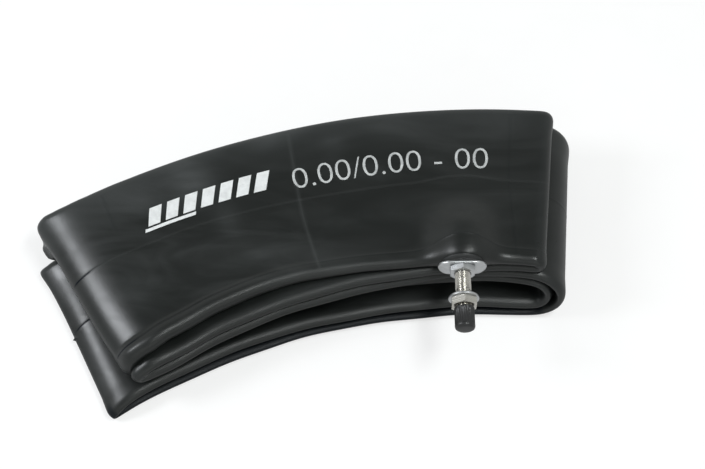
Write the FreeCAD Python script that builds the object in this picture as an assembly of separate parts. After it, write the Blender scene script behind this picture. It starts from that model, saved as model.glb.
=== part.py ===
import FreeCAD, Part
import math
import os

# Motorcycle inner tube, folded flat in six layers, with its metal screw-in valve.
# Millimetres, +Z up. The origin is on the valve stem's axis, on the outer face of
# the base nut, where the rim well rests. The stem points along -Y.

os.makedirs("parts", exist_ok=True)
V = FreeCAD.Vector

# Ring as moulded, before it is flattened
RING_RADIUS = 245.0
TUBE_DIAMETER = 58.6
WALL = 2.3

# Flattened strip
STRIP_WIDTH = math.pi * TUBE_DIAMETER / 2
STRIP_RADIUS = 370.0
LAYER_THICKNESS = 5.0
LAYER_PITCH = 5.9
CAVITY_THICKNESS = LAYER_THICKNESS - 2 * WALL

# Folded stack. Angles are about the strip's centre of curvature.
LEFT_ANGLE = 120.5
LOWER_EXTRA = 10.0
FAN_ANGLE = 1.6
UPPER_TILT = 2.4
LOOP_RADIUS = 8.25

# Valve bulge in the casing. Distances are outward from the origin along the stem.
LIP_POSITION = -8.0
BOSS_FRONT = -6.4
BOSS_BACK = -20.0
BOSS_RADIUS = 8.3
BULGE_HALF = (27.0, 19.4, 8.2)
BULGE_CENTRE = -26.0
AXIS_ABOVE_LAYER = 6.0

# Valve stem, .305-32 thread drawn as a plain cylinder
STEM_RADIUS = 3.87
THREAD_CLEARANCE = 0.05
STEM_TIP = 27.0
RIM_ZONE = 9.0
GROOVE_DEPTH = 0.35
GROOVE_WIDTH = 0.8
FLANGE_RADIUS = 5.7
FLANGE_THICKNESS = 1.4
AIR_BORE = 1.5
CORE_CHAMBER = 2.1
CORE_THREAD = 2.65

# Loose valve hardware
WASHER_HOLE = 4.15
BASE_NUT_FLATS = 12.0
BASE_NUT_THICKNESS = 3.1
BRIDGE_LENGTH = 24.0
BRIDGE_WIDTH = 13.0
BRIDGE_THICKNESS = 1.2
PAD_RADIUS = 10.5
RIM_WASHER_RADIUS = 7.5
RIM_WASHER_THICKNESS = 1.0
RIM_NUT_THICKNESS = 4.0
RIM_WASHER_START = 12.8
CAP_START = 18.5
CAP_END = 30.0
CAP_RADIUS = 4.95
FACE_GAP = 0.05

# Valve core
PIN_RADIUS = 0.55
PIN_TOP = 26.4
BARREL_RADIUS = 1.75
SPRING_WIRE = 0.12
SPRING_SIDES = 12
SPRING_RADIUS = 0.8

NUT_THICKNESSES = BRIDGE_THICKNESS + BASE_NUT_THICKNESS

# Length of each layer, so that the whole folded path is the ring's circumference
FOLD_LENGTHS = math.pi * LAYER_PITCH * (1.5 + 0.5 + 0.5 + 0.5)
LOOP_LENGTHS = (math.pi + math.radians(UPPER_TILT)) * (2 * LOOP_RADIUS + LAYER_PITCH)
PATH_LENGTH = 2 * math.pi * RING_RADIUS
LAYER_LENGTH = (PATH_LENGTH - FOLD_LENGTHS - LOOP_LENGTHS - 2 * LOWER_EXTRA) / 6
LAYER_ANGLE = math.degrees(LAYER_LENGTH / STRIP_RADIUS)
RIGHT_ANGLE = LEFT_ANGLE - LAYER_ANGLE
LOWER_LEFT_ANGLE = LEFT_ANGLE + math.degrees(LOWER_EXTRA / STRIP_RADIUS)


# ---- folded casing ----

def polar(radius, angle, z=0.0):
    a = math.radians(angle)
    return V(radius * math.cos(a), radius * math.sin(a), z)


def section(level, width, thickness):
    """Cross-section of the flattened tube, at angle 0: a flat bar with round edges."""
    near = STRIP_RADIUS - (width - thickness) / 2
    far = STRIP_RADIUS + (width - thickness) / 2
    low = level - thickness / 2
    high = level + thickness / 2
    outer = Part.Arc(V(far, 0, low), V(far + thickness / 2, 0, level), V(far, 0, high))
    inner = Part.Arc(V(near, 0, high), V(near - thickness / 2, 0, level), V(near, 0, low))
    bottom = Part.makeLine(V(near, 0, low), V(far, 0, low))
    top = Part.makeLine(V(far, 0, high), V(near, 0, high))
    return Part.Face(Part.Wire([bottom, outer.toShape(), top, inner.toShape()]))


def layer(level, start, end, size):
    """One layer of the strip between two angles."""
    face = section(level, *size)
    face.rotate(V(0, 0, 0), V(0, 0, 1), start)
    return face.revolve(V(0, 0, 0), V(0, 0, 1), end - start)


def hairpin(level_from, level_to, angle, turn, size):
    """A 180 degree fold about a radial line, from one level to another."""
    face = section(level_from, *size)
    face.rotate(V(0, 0, 0), V(0, 0, 1), angle)
    middle = (level_from + level_to) / 2
    return face.revolve(V(0, 0, middle), polar(1, angle), turn)


def crease_cutter(direction):
    """Everything to the right of the crease line, as a large block."""
    block = Part.makeBox(1200, 1200, 400, V(-600, -1200, -200))
    block.rotate(V(0, 0, 0), V(0, 0, 1), direction)
    block.translate(polar(STRIP_RADIUS, RIGHT_ANGLE))
    return block


def crease_face(strip, direction):
    """The end face that the crease cut has left on a layer."""
    normal = polar(1, direction - 90)
    for face in strip.Faces:
        flat = isinstance(face.Surface, Part.Plane)
        if flat and abs(face.normalAt(0, 0).dot(normal)) > 0.99999:
            return face
    raise ValueError("no crease face")


def cut_layer(level, left, direction, size):
    """A layer that runs to the slanted crease. Returns it and its crease face."""
    strip = layer(level, RIGHT_ANGLE - 4, left, size)
    strip = strip.cut(crease_cutter(direction)).Solids[0]
    return strip, crease_face(strip, direction)


def place_upper(shape):
    """From the upper layers' own flat frame to the folded stack's frame."""
    shape = shape.copy()
    pivot = polar(STRIP_RADIUS, RIGHT_ANGLE)
    shape.translate(V(0, 0, LOOP_RADIUS))
    shape.rotate(pivot, V(0, 0, 1), -FAN_ANGLE / 2)
    shape.rotate(pivot, polar(1, RIGHT_ANGLE), -UPPER_TILT)
    return shape


def place_lower(shape):
    shape = shape.copy()
    pivot = polar(STRIP_RADIUS, RIGHT_ANGLE)
    shape.translate(V(0, 0, -LOOP_RADIUS))
    shape.rotate(pivot, V(0, 0, 1), FAN_ANGLE / 2)
    return shape


def folded_strip(size):
    """The whole closed strip of one section size. The crease axis is at z = 0."""
    left = LEFT_ANGLE
    half_fan = FAN_ANGLE / 2
    pitch = LAYER_PITCH
    third, third_end = cut_layer(pitch, left, RIGHT_ANGLE + half_fan, size)
    fourth, fourth_end = cut_layer(0, left, RIGHT_ANGLE + half_fan, size)
    upper = [
        layer(3 * pitch, RIGHT_ANGLE, left, size),
        layer(2 * pitch, RIGHT_ANGLE, left, size),
        third,
        fourth,
        hairpin(3 * pitch, 0, left, -180, size),
        hairpin(2 * pitch, pitch, left, -180, size),
        hairpin(3 * pitch, 2 * pitch, RIGHT_ANGLE, 180, size),
    ]
    low_left = LOWER_LEFT_ANGLE
    fifth, _ = cut_layer(0, low_left, RIGHT_ANGLE - half_fan, size)
    sixth, _ = cut_layer(-pitch, low_left, RIGHT_ANGLE - half_fan, size)
    lower = [fifth, sixth, hairpin(0, -pitch, low_left, -180, size)]
    pivot = polar(STRIP_RADIUS, RIGHT_ANGLE)
    axis = polar(1, RIGHT_ANGLE)
    sweep = 180 + UPPER_TILT
    loops = [place_upper(end).revolve(pivot, axis, sweep) for end in (third_end, fourth_end)]
    pieces = [place_upper(s) for s in upper] + [place_lower(s) for s in lower] + loops
    return pieces[0].multiFuse(pieces[1:]).removeSplitter()


def valve_point():
    """The row's origin, in the folded stack's frame."""
    mark = Part.Vertex(polar(STRIP_RADIUS - STRIP_WIDTH / 2 + LIP_POSITION, 90 + FAN_ANGLE / 2))
    mark.translate(V(0, 0, 3 * LAYER_PITCH + AXIS_ABOVE_LAYER))
    return place_upper(mark).Point


def to_row_frame(shape):
    shape = shape.copy()
    shape.translate(valve_point().multiply(-1))
    return shape


# ---- turned and hexagonal valve pieces ----

def turned(points):
    """Solid turned about the valve axis from (radius, distance outward) corners."""
    corners = [V(radius, -out, 0) for radius, out in points]
    face = Part.Face(Part.makePolygon(corners + corners[:1]))
    return face.revolve(V(0, 0, 0), V(0, 1, 0), 360)


def ring(inner, outer, start, end):
    return turned([(inner, start), (outer, start), (outer, end), (inner, end)])


def disc(radius, start, end):
    return turned([(0, start), (radius, start), (radius, end), (0, end)])


def ellipsoid(half, centre_out):
    stretch = FreeCAD.Matrix()
    stretch.scale(V(*half))
    ball = Part.makeSphere(1).transformGeometry(stretch)
    ball.translate(V(0, -centre_out, 0))
    return ball


def hex_nut(flats, start, end):
    """Hexagon nut with both faces chamfered."""
    corner = flats / math.sqrt(3)
    turns = [math.radians(60 * i) for i in range(7)]
    points = [V(corner * math.cos(a), -start, corner * math.sin(a)) for a in turns]
    prism = Part.Face(Part.makePolygon(points)).extrude(V(0, start - end, 0))
    edge = flats / 2
    fall = (corner - edge) * 0.6
    chamfer = turned([(0, start), (edge, start), (corner, start + fall), (corner, end - fall),
                      (edge, end), (0, end)])
    return prism.common(chamfer).cut(disc(STEM_RADIUS + THREAD_CLEARANCE, start - 1, end + 1))


def casing():
    outside = to_row_frame(folded_strip((STRIP_WIDTH, LAYER_THICKNESS)))
    inside = to_row_frame(folded_strip((STRIP_WIDTH - 2 * WALL, CAVITY_THICKNESS)))
    bulge = ellipsoid(BULGE_HALF, BULGE_CENTRE)
    hollow = ellipsoid([h - WALL + 0.2 for h in BULGE_HALF], BULGE_CENTRE)
    boss = disc(BOSS_RADIUS, BOSS_BACK, BOSS_FRONT)
    pocket = disc(BOSS_RADIUS - WALL, BOSS_BACK, BOSS_FRONT - WALL)
    hole = disc(STEM_RADIUS + 0.08, BOSS_BACK, BOSS_FRONT + 1)
    body = outside.multiFuse([bulge, boss])
    return body.cut(inside.multiFuse([hollow, pocket, hole]))


def valve_pad():
    start = BOSS_FRONT + FACE_GAP
    end = -NUT_THICKNESSES - 2 * FACE_GAP
    hole = STEM_RADIUS + 0.08
    return turned([(hole, start), (PAD_RADIUS - 0.5, start), (PAD_RADIUS, start + 0.5),
                   (PAD_RADIUS, start + 0.9), (PAD_RADIUS - 1.0, end), (hole, end)])


def bridge_washer():
    start = -NUT_THICKNESSES - FACE_GAP
    half = (BRIDGE_LENGTH - BRIDGE_WIDTH) / 2
    plate = Part.makeBox(2 * half, BRIDGE_THICKNESS, BRIDGE_WIDTH,
                         V(-half, -start - BRIDGE_THICKNESS, -BRIDGE_WIDTH / 2))
    ends = [disc(BRIDGE_WIDTH / 2, start, start + BRIDGE_THICKNESS) for _ in range(2)]
    ends[0].translate(V(-half, 0, 0))
    ends[1].translate(V(half, 0, 0))
    plate = plate.multiFuse(ends).removeSplitter()
    return plate.cut(disc(WASHER_HOLE, start - 1, start + 3))


def base_nut():
    return hex_nut(BASE_NUT_FLATS, -BASE_NUT_THICKNESS, 0.0)


def valve_stem():
    flange_out = BOSS_FRONT - WALL - FACE_GAP
    flange_in = flange_out - FLANGE_THICKNESS
    neck = STEM_RADIUS - GROOVE_DEPTH
    return turned([
        (AIR_BORE, flange_in), (FLANGE_RADIUS, flange_in), (FLANGE_RADIUS, flange_out),
        (STEM_RADIUS, flange_out), (STEM_RADIUS, -GROOVE_WIDTH), (neck, -GROOVE_WIDTH),
        (neck, 0), (STEM_RADIUS, 0), (STEM_RADIUS, RIM_ZONE), (neck, RIM_ZONE),
        (neck, RIM_ZONE + GROOVE_WIDTH), (STEM_RADIUS, RIM_ZONE + GROOVE_WIDTH),
        (STEM_RADIUS, STEM_TIP - 0.5), (STEM_RADIUS - 0.5, STEM_TIP), (CORE_THREAD, STEM_TIP),
        (CORE_THREAD, 18.2), (CORE_CHAMBER, 16.8), (CORE_CHAMBER, 2.0), (AIR_BORE, 1.0),
    ])


def rim_washer():
    return ring(WASHER_HOLE, RIM_WASHER_RADIUS, RIM_WASHER_START,
                RIM_WASHER_START + RIM_WASHER_THICKNESS)


def rim_nut():
    start = RIM_WASHER_START + RIM_WASHER_THICKNESS + FACE_GAP
    return hex_nut(BASE_NUT_FLATS, start, start + RIM_NUT_THICKNESS)


def valve_cap():
    bore = STEM_RADIUS + THREAD_CLEARANCE
    return turned([(bore, CAP_START), (CAP_RADIUS, CAP_START), (CAP_RADIUS, CAP_END - 1.2),
                   (CAP_RADIUS - 0.4, CAP_END - 0.4), (CAP_RADIUS - 1.2, CAP_END), (0, CAP_END),
                   (0, STEM_TIP + 1.2), (bore, STEM_TIP + 1.2)])


def cap_gasket():
    return ring(2.7, 3.8, STEM_TIP + FACE_GAP, STEM_TIP + 1.1)


# ---- valve core ----

def core_plug():
    """Threaded swivel plug, with two flats for the core key."""
    plug = ring(PIN_RADIUS + 0.2, CORE_THREAD - 0.05, 20.6, 25.4)
    for side in (-1, 1):
        plug = plug.cut(Part.makeBox(2, 2.2, 6, V(side * 2.6 - 1, -25.5, -3)))
    return plug


def core_barrel():
    """Tube that guides the pin and holds the spring."""
    return turned([(0.7, 9.0), (BARREL_RADIUS, 9.0), (BARREL_RADIUS, 20.5), (1.05, 20.5),
                   (1.05, 10.4), (0.7, 10.4)])


def core_seal():
    """Tapered ring that seals the barrel in the stem."""
    return turned([(BARREL_RADIUS + 0.02, 16.9), (2.05, 16.9), (2.5, 18.1), (2.5, 19.2),
                   (BARREL_RADIUS + 0.02, 19.2)])


def core_pin():
    """Pin with the collar that the spring pushes on."""
    return turned([(0, 4.6), (PIN_RADIUS, 4.6), (PIN_RADIUS, 17.5), (0.95, 17.5), (0.95, 18.2),
                   (PIN_RADIUS, 18.2), (PIN_RADIUS, PIN_TOP - 0.2), (PIN_RADIUS - 0.2, PIN_TOP),
                   (0, PIN_TOP)])


def core_cup():
    return turned([(PIN_RADIUS + 0.02, 5.4), (1.2, 5.4), (1.6, 6.0), (1.6, 8.4), (1.45, 8.4),
                   (1.45, 7.2), (PIN_RADIUS + 0.02, 7.2)])


def core_cup_seal():
    return ring(PIN_RADIUS + 0.05, 1.4, 7.25, 8.95)


def core_spring():
    """Coil between the barrel's floor and the pin's collar."""
    start = 10.4 + SPRING_WIRE + 0.03
    length = 17.5 - 10.4 - 2 * SPRING_WIRE - 0.06
    helix = Part.makeHelix(length / 9, length, SPRING_RADIUS)
    turns = [2 * math.pi * i / SPRING_SIDES for i in range(SPRING_SIDES)]
    corners = [V(SPRING_RADIUS + SPRING_WIRE * math.cos(a), 0, SPRING_WIRE * math.sin(a)) for a in turns]
    profile = Part.makePolygon(corners + corners[:1])
    coil = Part.Wire(helix.Edges).makePipeShell([profile], True, True)
    coil.rotate(V(0, 0, 0), V(1, 0, 0), 90)
    coil.translate(V(0, -start, 0))
    return coil


NODES = {
    "casing": casing,
    "valve_pad": valve_pad,
    "bridge_washer": bridge_washer,
    "base_nut": base_nut,
    "valve_stem": valve_stem,
    "rim_washer": rim_washer,
    "rim_nut": rim_nut,
    "valve_cap": valve_cap,
    "cap_gasket": cap_gasket,
    "core_plug": core_plug,
    "core_barrel": core_barrel,
    "core_seal": core_seal,
    "core_pin": core_pin,
    "core_cup": core_cup,
    "core_cup_seal": core_cup_seal,
    "core_spring": core_spring,
}

for name, build in NODES.items():
    shape = build()
    box = shape.BoundBox
    print(name, shape.isValid(), len(shape.Solids), "solid", len(shape.Faces), "faces",
          round(shape.Volume / 1000, 3), "cm3",
          [round(v, 2) for v in (box.XMin, box.XMax, box.YMin, box.YMax, box.ZMin, box.ZMax)])
    shape.exportStep("parts/%s.step" % name)
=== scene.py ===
import math

import bmesh
import bpy
import numpy as np
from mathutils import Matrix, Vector


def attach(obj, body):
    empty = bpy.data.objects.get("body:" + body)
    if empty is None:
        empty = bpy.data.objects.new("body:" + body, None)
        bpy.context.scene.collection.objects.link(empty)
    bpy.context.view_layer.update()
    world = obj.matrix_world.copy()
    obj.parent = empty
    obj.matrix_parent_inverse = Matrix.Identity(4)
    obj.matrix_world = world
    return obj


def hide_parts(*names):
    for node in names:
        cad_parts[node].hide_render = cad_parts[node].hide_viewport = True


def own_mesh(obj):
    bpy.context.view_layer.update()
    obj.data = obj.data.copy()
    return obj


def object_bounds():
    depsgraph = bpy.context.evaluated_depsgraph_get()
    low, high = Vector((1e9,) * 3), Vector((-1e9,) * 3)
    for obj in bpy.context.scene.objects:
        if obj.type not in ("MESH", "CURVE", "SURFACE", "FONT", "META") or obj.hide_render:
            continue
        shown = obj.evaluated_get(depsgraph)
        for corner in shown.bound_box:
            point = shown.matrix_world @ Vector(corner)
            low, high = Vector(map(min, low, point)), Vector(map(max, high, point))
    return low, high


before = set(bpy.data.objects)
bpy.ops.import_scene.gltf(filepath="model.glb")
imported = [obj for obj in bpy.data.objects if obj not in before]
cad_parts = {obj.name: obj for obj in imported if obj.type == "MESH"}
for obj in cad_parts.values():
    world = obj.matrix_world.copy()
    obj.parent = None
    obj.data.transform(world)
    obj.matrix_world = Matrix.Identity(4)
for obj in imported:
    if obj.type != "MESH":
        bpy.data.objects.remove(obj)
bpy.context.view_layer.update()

# A motorcycle inner tube folded flat in six layers, with its screw-in valve.
# Lengths are in millimetres until a mesh is made. The row frame is the CAD's own: the valve
# stem's axis is the -Y axis and the strip lies in the XY plane.
# On the strip, u runs from the right crease, w across it (outwards) and z up. lam is 0 on the
# four upper layers and 1 on the two lower ones, and dw is how far a layer stands off sideways.

MM = 0.001

# ---- the tube's own dimensions, in millimetres ----

# The ring as made, and the strip that its round section becomes when it is pressed flat
RING_RADIUS = 245.0
TUBE_DIAMETER = 58.6
STRIP_HALF = math.pi * TUBE_DIAMETER / 4
STRIP_RADIUS = 370.0
# The stack: spacing of the layers, angle of the left end, fan between upper and lower layers
LAYER_PITCH = 5.9
LEFT_ANGLE = math.radians(120.5)
HALF_FAN = math.radians(0.8)
# The wide loop at the right, and how it tilts the upper layers
LOOP_RADIUS = 8.25
UPPER_TILT = math.radians(2.4)
# The valve's zero: above layer 1's middle, and out from the strip's near edge
AXIS_ABOVE_LAYER = 6.0
LIP_POSITION = -8.0

# Lengths of the centre line. Six layers, the folds and the loops add up to the whole ring.
FOLD_LENGTHS = math.pi * LAYER_PITCH * 3.0
LOOP_LENGTHS = (math.pi + UPPER_TILT) * (2 * LOOP_RADIUS + LAYER_PITCH)
LOWER_EXTRA = 10.0
LAYER_LENGTH = (2 * math.pi * RING_RADIUS - FOLD_LENGTHS - LOOP_LENGTHS - 2 * LOWER_EXTRA) / 6
LOWER_LENGTH = LAYER_LENGTH + LOWER_EXTRA
RIGHT_ANGLE = LEFT_ANGLE - LAYER_LENGTH / STRIP_RADIUS
PIVOT = STRIP_RADIUS * np.array([math.cos(RIGHT_ANGLE), math.sin(RIGHT_ANGLE)])

# The sheet's thickness, and its round edges
HALF_THICKNESS = 2.4
BEAD_RADIUS = 2.85
BEAD_BLEND = 10.0
# Gap between layers 4 and 5 at the left
FOLD_GAP = 0.3
# How far the lower layers sit forward, and how far the left folds reach past the layers
LOWER_SHIFT = -7.5
FOLD_REACH = 8.85
LOWER_FOLD_REACH = 4.0
# Spacing of the fine centre line that every section is picked from
FINE = 0.25
# Spacing of the sections on flats, and how many more there are per mm in folds and at cross lines
FLAT_SPACING = 3.5
FOLD_DENSITY = 1.25
LINE_DENSITY = 0.95
# An inside face stays below this share of a bend's radius
INSIDE_SHARE = 0.92


def turn(points, pivot, angle):
    """Points in the plane turned about a pivot. The angle may be one per point."""
    dx = points[..., 0] - pivot[0]
    dy = points[..., 1] - pivot[1]
    c, s = np.cos(angle), np.sin(angle)
    return np.stack([pivot[0] + dx * c - dy * s, pivot[1] + dx * s + dy * c], axis=-1)


def valve_point():
    """The row's origin, in the folded stack's own frame, as the CAD places it."""
    radius = STRIP_RADIUS - STRIP_HALF + LIP_POSITION
    angle = math.pi / 2 + HALF_FAN
    x, y = radius * math.cos(angle), radius * math.sin(angle)
    z = 3 * LAYER_PITCH + AXIS_ABOVE_LAYER + LOOP_RADIUS
    x, y = turn(np.array([x, y]), PIVOT, -HALF_FAN)
    axis = PIVOT / STRIP_RADIUS
    side = np.array([-axis[1], axis[0]])
    along = (x - PIVOT[0]) * axis[0] + (y - PIVOT[1]) * axis[1]
    across = (x - PIVOT[0]) * side[0] + (y - PIVOT[1]) * side[1]
    c, s = math.cos(UPPER_TILT), math.sin(UPPER_TILT)
    across, z = across * c + z * s, z * c - across * s
    flat = PIVOT + along * axis + across * side
    return np.array([flat[0], flat[1], z])


ORIGIN = valve_point()
VALVE_U = (math.pi / 2 + HALF_FAN - RIGHT_ANGLE) * STRIP_RADIUS


def levels(u):
    """Heights of layers 1 to 6 at a distance u from the right crease."""
    share = np.clip(1 - np.asarray(u, float) / LAYER_LENGTH, 0, 1) ** 1.1
    fifth = -LOOP_RADIUS + 0 * share
    fourth = fifth + LAYER_PITCH + FOLD_GAP + (2 * LOOP_RADIUS - LAYER_PITCH - FOLD_GAP) * share
    return [fourth + 3 * LAYER_PITCH, fourth + 2 * LAYER_PITCH, fourth + LAYER_PITCH, fourth,
            fifth, fifth - LAYER_PITCH]


# Centre lines of the folds at the left: (distance from the outermost point, height from the
# fold's own middle level)
OUTER_FOLD = [(45, 8.85), (32, 9.3), (24, 9.5), (16, 8.9), (9, 7.2), (4, 4.6), (1.2, 2.0), (0, -0.8),
              (0.8, -3.6), (3.4, -6.4), (8, -8.2), (14, -8.8), (22, -8.85)]
INNER_FOLD = [(45, 2.95), (28, 3.2), (20, 3.6), (14, 3.3), (9.5, 1.9), (7, 0.6), (6.2, -0.9),
              (7.2, -2.3), (10, -3.1), (16, -3.0), (30, -2.95)]
LOWER_FOLD = [(40, 2.95), (24, 3.0), (17, 2.95), (13, 2.65), (9, 1.95), (6, 0.85), (3.6, -0.55), (1.8, -1.85),
              (0.5, -2.85), (0.1, -3.35), (1.2, -3.6), (5, -3.3), (12, -2.95)]


def run(layer, start, end, lam, slide):
    """A flat run of a layer. slide is how far its edges stand off, as (right, left)."""
    count = max(2, int(abs(end - start) / 9))
    rows = []
    for u in np.linspace(start, end, count + 1):
        share = np.clip((u - 35) / (LAYER_LENGTH - 35), 0, 1)
        dw = slide[0] + (slide[1] - slide[0]) * share
        rows.append((u, levels(u)[layer - 1], lam, dw))
    return rows


def left_fold(shape, tip, above, below, lam, slides):
    """A fold at the left, from the layer above to the layer below."""
    rows = []
    for i, (x, z) in enumerate(shape):
        u = tip - x
        both = levels(min(u, LAYER_LENGTH))
        middle = (both[above - 1] + both[below - 1]) / 2
        share = i / (len(shape) - 1)
        rows.append((u, middle + z, lam, slides[0] + (slides[1] - slides[0]) * share))
    return rows


def right_loop(radius, direction, lams, steps, middle=0.0):
    """A loop at the right round the height middle. direction 1 goes down, -1 goes up."""
    rows = []
    for share in np.linspace(0, 1, steps + 2)[1:-1]:
        a = math.pi / 2 - math.pi * share
        z = middle + radius * math.sin(a) * direction
        rows.append((-radius * math.cos(a), z, lams[0] + (lams[1] - lams[0]) * share, 0.0))
    return rows


def control_path():
    """The whole folded ring's centre line: (u, z, lam, dw) rows, closed.

    A run stops 7 or 8 mm short of the fold that it leads to or comes from."""
    tip = LAYER_LENGTH + FOLD_REACH
    low_tip = LOWER_LENGTH + LOWER_FOLD_REACH
    rows = run(1, 0, tip - 52, 0, (0, 0))
    rows += left_fold(OUTER_FOLD, tip, 1, 4, 0, (0, 1.5))
    rows += run(4, tip - 30, 0, 0, (0, 1.5))
    rows += right_loop(LOOP_RADIUS, 1, (0, 1), 9)
    rows += run(5, 0, low_tip - 47, 1, (1.5, 2.0))
    rows += left_fold(LOWER_FOLD, low_tip, 5, 6, 1, (2.0, 0.5))
    rows += run(6, low_tip - 20, 0, 1, (0, 0.5))
    rows += right_loop(LOOP_RADIUS + LAYER_PITCH, -1, (1, 0), 13)
    rows += run(3, 0, tip - 38, 0, (0, -11.0))
    rows += left_fold(INNER_FOLD, tip, 2, 3, 0, (-9.0, -11.0))[::-1]
    rows += run(2, tip - 53, 0, 0, (0, -8.0))
    first, second = levels(0)[:2]
    rows += right_loop((first - second) / 2, -1, (0, 0), 5, (first + second) / 2)
    return np.array(rows)


def spline(rows, per_span):
    """Closed centripetal Catmull-Rom curve through the rows."""
    p0, p1, p2, p3 = (np.roll(rows, k, axis=0) for k in (1, 0, -1, -2))

    def knot(a, b):
        return np.sqrt(np.linalg.norm((b - a)[:, :2], axis=1)).clip(0.3)[:, None]

    d1, d2, d3 = knot(p0, p1), knot(p1, p2), knot(p2, p3)
    m1 = (p1 - p0) / d1 - (p2 - p0) / (d1 + d2) + (p2 - p1) / d2
    m2 = (p2 - p1) / d2 - (p3 - p1) / (d2 + d3) + (p3 - p2) / d3
    out = []
    for t in np.arange(per_span) / per_span:
        h00, h10 = 2 * t**3 - 3 * t**2 + 1, t**3 - 2 * t**2 + t
        h01, h11 = -2 * t**3 + 3 * t**2, t**3 - t**2
        out.append(h00 * p1 + h10 * m1 * d2 + h01 * p2 + h11 * m2 * d2)
    return np.stack(out, axis=1).reshape(-1, rows.shape[1])


def resample(rows, spacing):
    """Points at equal spacing along the closed curve."""
    closed = np.vstack([rows, rows[:1]])
    steps = np.linalg.norm(np.diff(closed[:, :2], axis=0), axis=1)
    along = np.concatenate([[0], np.cumsum(steps)])
    at = np.linspace(0, along[-1], int(along[-1] / spacing) + 1)[:-1]
    return np.stack([np.interp(at, along, closed[:, k]) for k in range(rows.shape[1])], axis=1)


def smooth_closed(values, sigma):
    """Gaussian smoothing round the fine closed curve."""
    reach = int(4 * sigma / FINE) + 1
    kernel = np.exp(-0.5 * (np.arange(-reach, reach + 1) * FINE / sigma) ** 2)
    kernel /= kernel.sum()
    padded = np.concatenate([values[-reach:], values, values[:reach]])
    return np.stack([np.convolve(padded[:, k], kernel, "valid") for k in range(values.shape[1])],
                    axis=1)


def centre_line():
    """Fine centre line: (u, z, lam, dw, tangent u, tangent z, curvature) rows."""
    rows = resample(spline(control_path(), 24), FINE)
    shape = smooth_closed(rows[:, :2], 0.9)
    extra = smooth_closed(rows[:, 2:], 9.0)
    tangent = np.roll(shape, -1, axis=0) - np.roll(shape, 1, axis=0)
    tangent /= np.linalg.norm(tangent, axis=1)[:, None]
    next_t = np.roll(tangent, -1, axis=0)
    bend = (tangent[:, 0] * next_t[:, 1] - tangent[:, 1] * next_t[:, 0]) / FINE
    return np.hstack([shape, extra, tangent, smooth_closed(bend[:, None], 0.5)])


def place(u, w, z, lam, dw):
    """From the developed strip to the row frame, in millimetres."""
    inside = np.clip(u, 0, LAYER_LENGTH + LOWER_EXTRA * lam)
    radius = STRIP_RADIUS + w
    angle = RIGHT_ANGLE + inside / STRIP_RADIUS + (u - inside) / radius
    flat = np.stack([(radius + dw) * np.cos(angle), (radius + dw) * np.sin(angle)], axis=-1)
    flat = turn(flat, PIVOT, HALF_FAN * (2 * lam - 1))
    x = flat[..., 0] - ORIGIN[0]
    y = flat[..., 1] + LOWER_SHIFT * lam - ORIGIN[1]
    return np.stack([x, y, z + 0 * x - ORIGIN[2]], axis=-1)


# ---- cross-section of the strip and its skin ----

BEAD_ANGLES = np.radians(np.linspace(83, -83, 15))
# Two raised moulding lines run along the strip: where they are across it, and their size
LINE_A = 5.0
LINE_B = -39.5
LINE_HEIGHT = 0.17
LINE_HALF_WIDTH = 0.45
# How much of line A on layer 1 gets a painted pale highlight, where its ridge catches the light
LINE_A_PALE = 0.55
# How far the far edge stands out near the left folds: (distance past the layer's end, mm)
FAR_EDGE = [(-30, 0.0), (-16, -0.6), (-6, -0.3), (1, 0.7), (5.5, 1.9), (12, 2.1)]
# How much further left layers 2 and 3 reach at their near corner
TONGUE_REACH = 4.0
# The mound that carries the valve: half its length, how far it rises, and stands out from the edge
MOUND_HALF_LENGTH = 15.5
MOUND_RISE = 5.4
MOUND_FRONT = 1.65
# How far a lip's rounding reaches in from the edge: far edge, and near edge of the lower layers
FAR_REACH = 4.4
LOWER_REACH = 4.6
# The lower layers' near lips are pinched underneath, and the lowest one gets painted shade
LOWER_PINCH = 0.48
LOWEST_LIP_PAINTED_SHADE = 0.58
# The moulding nub on the lower left fold
NUB_W = 2.6
NUB_HEIGHT = 1.3
# Skew of the fold ends, in millimetres at the edge: plain, cubic far side, cubic near side
SKEW_UPPER = (0.6, 0.9, 1.8)
SKEW_LOWER = (-5.3, 2.2, 0.0)
# Lines across the strip: distance from the right crease, slope, height, where they start across, and 1 if the
# line gets a painted pale highlight
CROSS_LINES = [(121.3, 0.0, 0.20, -60, 1), (213.4, -0.10, 0.18, 18, 0), (14.0, 0.05, 0.12, -60, 0)]
# How far the near edge of layer 1 stands in from its arc: (distance from the right crease, mm)
INNER_EDGE = [(-20, 0.0), (70, 1.4), (95, 2.2), (130, 3.4), (160, 3.0), (185, 1.2), (200, -0.6),
              (215, -2.0), (226, -4.0), (245, -4.5)]


def section_grid():
    """Positions across one face of the strip, close together at the moulding lines."""
    end = STRIP_HALF - BEAD_RADIUS
    fine = [-3.0, -1.6, -0.9, -0.45, 0.0, 0.45, 0.9, 1.6, 3.0]
    marks = [LINE_A + f for f in fine] + [LINE_B + f for f in fine[2:]]
    marks += [NUB_W + f for f in (-0.9, -0.45, 0, 0.45, 0.9)]
    wide = list(np.linspace(-end + 13, end - 13, 17))
    edges = [-end + 1.2, -end + 5.6, -end + 7.2, -end + 9, -end + 11]
    edges += [end - 11, end - 9, end - 7.2, end - 5.6, end - 4, end - 2.5, end - 1.2]
    extra = [w for w in wide if all(abs(w - m) > 1.8 for m in marks)]
    kept = []
    for w in sorted(marks + [-end, end] + edges + extra):
        if not kept or w - kept[-1] > 0.28:
            kept.append(w)
    return np.array(kept)


GRID = section_grid()


def fade(x, start, length):
    """0 up to start, 1 from start + length on, and a smooth rise between them."""
    share = np.clip((x - start) / length, 0, 1)
    return share * share * (3 - 2 * share)


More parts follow.
